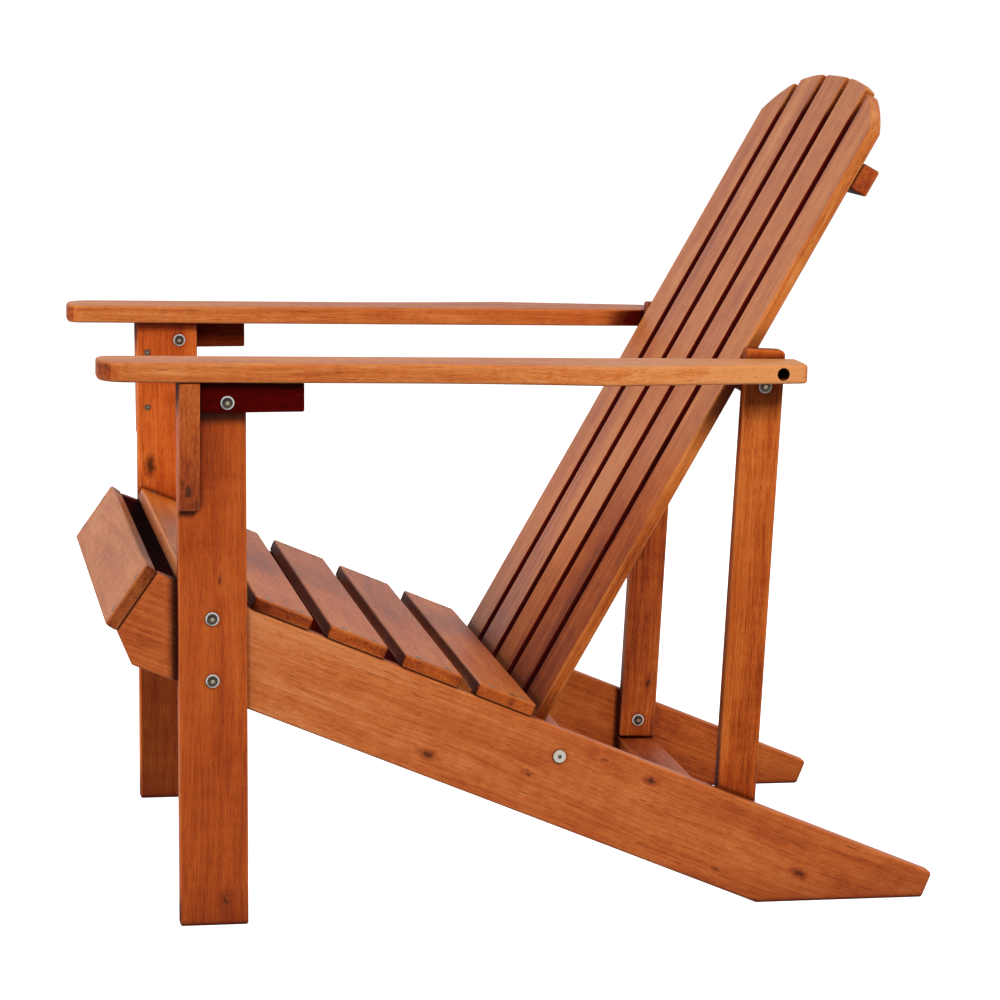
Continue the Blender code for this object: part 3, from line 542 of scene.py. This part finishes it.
def add_screw(mesh, seat, outward):
    """A countersunk screw's head, a little proud of the wood at seat, with a cross recess."""
    facing = outward.to_track_quat("Z", "Y").to_matrix()
    rings = (
        (lambda angle: SCREW_RADIUS * 0.5, -0.0012),
        (lambda angle: SCREW_RADIUS, -0.0001),
        (lambda angle: SCREW_RADIUS * 0.97, 0.0003),
        (lambda angle: SCREW_RADIUS * 0.80, 0.0006),
        (cross_radius, 0.0007),
        (lambda angle: cross_radius(angle) * 0.85, 0.0001),
    )
    loops = []
    for radius_at, height in rings:
        loop = []
        for step in range(SCREW_SIDES):
            angle = step * 2 * math.pi / SCREW_SIDES
            radius = radius_at(angle)
            point = Vector((radius * math.cos(angle), radius * math.sin(angle), height))
            loop.append(mesh.verts.new(seat + facing @ point))
        loops.append(loop)
    for lower, upper in zip(loops, loops[1:]):
        for step in range(SCREW_SIDES):
            after = (step + 1) % SCREW_SIDES
            mesh.faces.new((lower[step], lower[after], upper[after], upper[step]))
    mesh.faces.new(reversed(loops[0]))
    mesh.faces.new(loops[-1])


def screws(name, places):
    """One object for a set of screws. Its places are (seat, outward)."""
    mesh = bmesh.new()
    for seat, outward in places:
        add_screw(mesh, seat, outward)
    data = bpy.data.meshes.new(name)
    mesh.to_mesh(data)
    mesh.free()
    piece = bpy.data.objects.new(name, data)
    bpy.context.scene.collection.objects.link(piece)
    data.materials.append(SCREW_STEEL)
    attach(piece, "root")


def end_screws(node, outward_sign, in_from_end, off_centre):
    """Two screws at each end of a slat that lies across the chair."""
    axes = board_axes(node)
    low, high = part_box(node)
    reach = (high.x - low.x) / 2 - in_from_end
    outward = axes.col[2] * outward_sign
    face = board_centre(node) + outward * SLAT_HALF_THICKNESS
    return [
        (face + axes.col[0] * side * reach + axes.col[1] * half * off_centre, outward)
        for side in (-1, 1) for half in (-1, 1)]


def batten_screws(level):
    """Two screws through a batten into each back slat, from behind."""
    node = level + "_back_batten"
    centre = board_centre(node)
    outward = board_axes(node).col[2].copy()
    places = []
    for number in range(1, 6):
        low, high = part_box(f"back_slat_{number}")
        for aside in (-BATTEN_SCREW_ASIDE, BATTEN_SCREW_ASIDE):
            across = Vector(((low.x + high.x) / 2 + aside - centre.x, 0, 0))
            places.append((centre + across + outward * BATTEN_DEPTHS[level] / 2, outward))
    return places


def corbel_screws():
    """Two screws from each leg's inner face into its corbel."""
    places = []
    for side, sign in (("left", 1), ("right", -1)):
        leg_low, leg_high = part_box(f"front_leg_{side}")
        low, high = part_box(f"arm_corbel_{side}")
        inner = leg_low.x if sign > 0 else leg_high.x
        for z in (low.z + CORBEL_SCREW_UP, high.z - CORBEL_SCREW_DOWN):
            places.append((Vector((inner, low.y + CORBEL_SCREW_IN, z)), Vector((-sign, 0, 0))))
    return places


screws("seat_screws", [
    place for number in range(1, 6)
    for place in end_screws(f"seat_slat_{number}", 1, in_from_end=0.011, off_centre=0.017)])
screws("apron_screws", end_screws("front_apron", -1, in_from_end=0.009, off_centre=0.020))
screws("corbel_screws", corbel_screws())
screws("back_screws", [place for level in BATTEN_DEPTHS for place in batten_screws(level)])


# ---------------------------------------------------------------- studio
FLOOR_SIZE = 40
FLOOR_GLOW = 0.90                   # how brightly the paper shows under the chair, next to 1 farther off
GLOW_FROM, GLOW_TO = 0.5, 1.6       # metres from the chair's middle
FLOOR_SHINE = 0.35                  # and in reflections
FLOOR_BOUNCE = (0.20, 0.20, 0.20)   # the colour it lights the chair with
AMBIENT = 0.12
SHINE_FAR = 0.80                    # what the chair reflects of the background's far side
SHINE_NEAR = 0.25
# Place, aim, size and power of each light.
SOFTBOXES = {
    "front": ((-0.1, -3.6, 1.25), (0, 0, 0.45), 1.6, 106),
    "side": ((4.2, 1.2, 3.0), (0, 0, 0.4), 1.4, 220),
    "back": ((-2.6, 3.4, 2.2), (0, 0, 0.4), 1.6, 60),
}
CAMERA_PLACE = (4.31389, -0.64897, 0.99575)
CAMERA_LENS = 143.67
CAMERA_YAW, CAMERA_PITCH, CAMERA_ROLL = 0.15422, 0.13788, 0.00377


def studio_floor():
    """Pale paper, overexposed to white except for a soft shade under the chair. It throws little light up."""
    bpy.ops.mesh.primitive_plane_add(size=FLOOR_SIZE, location=(0, 0, 0))
    floor = bpy.context.object
    floor.name = "studio_floor"
    material, g, shader = new_material("floor_paper")
    place = g.place()
    path = g.add("ShaderNodeLightPath").outputs
    paper = g.mix(g.noise(place, 30.0), (0.88, 0.88, 0.88), (0.92, 0.92, 0.92))
    seen = g.remap(g.length(place), GLOW_FROM, GLOW_TO, FLOOR_GLOW, 1.0)
    glow = g.weighted(g.math("MULTIPLY", path["Is Camera Ray"], seen), [(path["Is Glossy Ray"], FLOOR_SHINE)])
    g.feed(shader["Base Color"], g.mix(path["Is Camera Ray"], FLOOR_BOUNCE, paper))
    g.feed(shader["Emission Strength"], glow)
    g.feed(shader["Emission Color"], (1, 1, 1))
    shader["Roughness"].default_value = 0.9
    shader["Specular IOR Level"].default_value = 0.0
    floor.data.materials.append(material)


def softbox(name, place, aim, size, power):
    """A square light that shows in no reflection."""
    light = bpy.data.lights.new(name, "AREA")
    light.shape = "SQUARE"
    light.size = size
    light.energy = power
    lamp = bpy.data.objects.new(name, light)
    lamp.location = place
    lamp.rotation_euler = (Vector(aim) - Vector(place)).to_track_quat("-Z", "Y").to_euler()
    lamp.visible_glossy = False
    bpy.context.scene.collection.objects.link(lamp)


def studio_world():
    """A white background. The chair reflects its bright far side, and takes little other light from it."""
    world = bpy.data.worlds.new("white_studio")
    bpy.context.scene.world = world
    world.use_nodes = True
    g = Graph(world.node_tree)
    path = g.add("ShaderNodeLightPath").outputs
    toward = g.separate(g.add("ShaderNodeTexCoord").outputs["Generated"])
    shine = g.remap(toward["X"], -0.7, 0.6, SHINE_FAR, SHINE_NEAR)
    level = g.mix(path["Is Glossy Ray"], (AMBIENT, AMBIENT, AMBIENT), shine)
    background = world.node_tree.nodes["Background"].inputs
    g.feed(background["Color"], g.mix(path["Is Camera Ray"], level, (1, 1, 1)))
    background["Strength"].default_value = 1.0


def camera():
    """A long lens, low, from the chair's left side and a little in front of it."""
    data = bpy.data.cameras.new("camera")
    data.sensor_width = 36.0
    data.lens = CAMERA_LENS
    view = bpy.data.objects.new("camera", data)
    bpy.context.scene.collection.objects.link(view)
    level_ahead = Vector((-math.cos(CAMERA_YAW), math.sin(CAMERA_YAW), 0))
    ahead = level_ahead * math.cos(CAMERA_PITCH) - Z * math.sin(CAMERA_PITCH)
    right = level_ahead.cross(Z)
    above = right.cross(ahead)
    right, above = (right * math.cos(CAMERA_ROLL) + above * math.sin(CAMERA_ROLL),
                    above * math.cos(CAMERA_ROLL) - right * math.sin(CAMERA_ROLL))
    view.matrix_world = Matrix.Translation(CAMERA_PLACE) @ Matrix((right, above, -ahead)).transposed().to_4x4()
    bpy.context.scene.camera = view


studio_floor()
studio_world()
for name, box in SOFTBOXES.items():
    softbox(name, *box)
camera()
bpy.context.scene.view_settings.view_transform = "Standard"
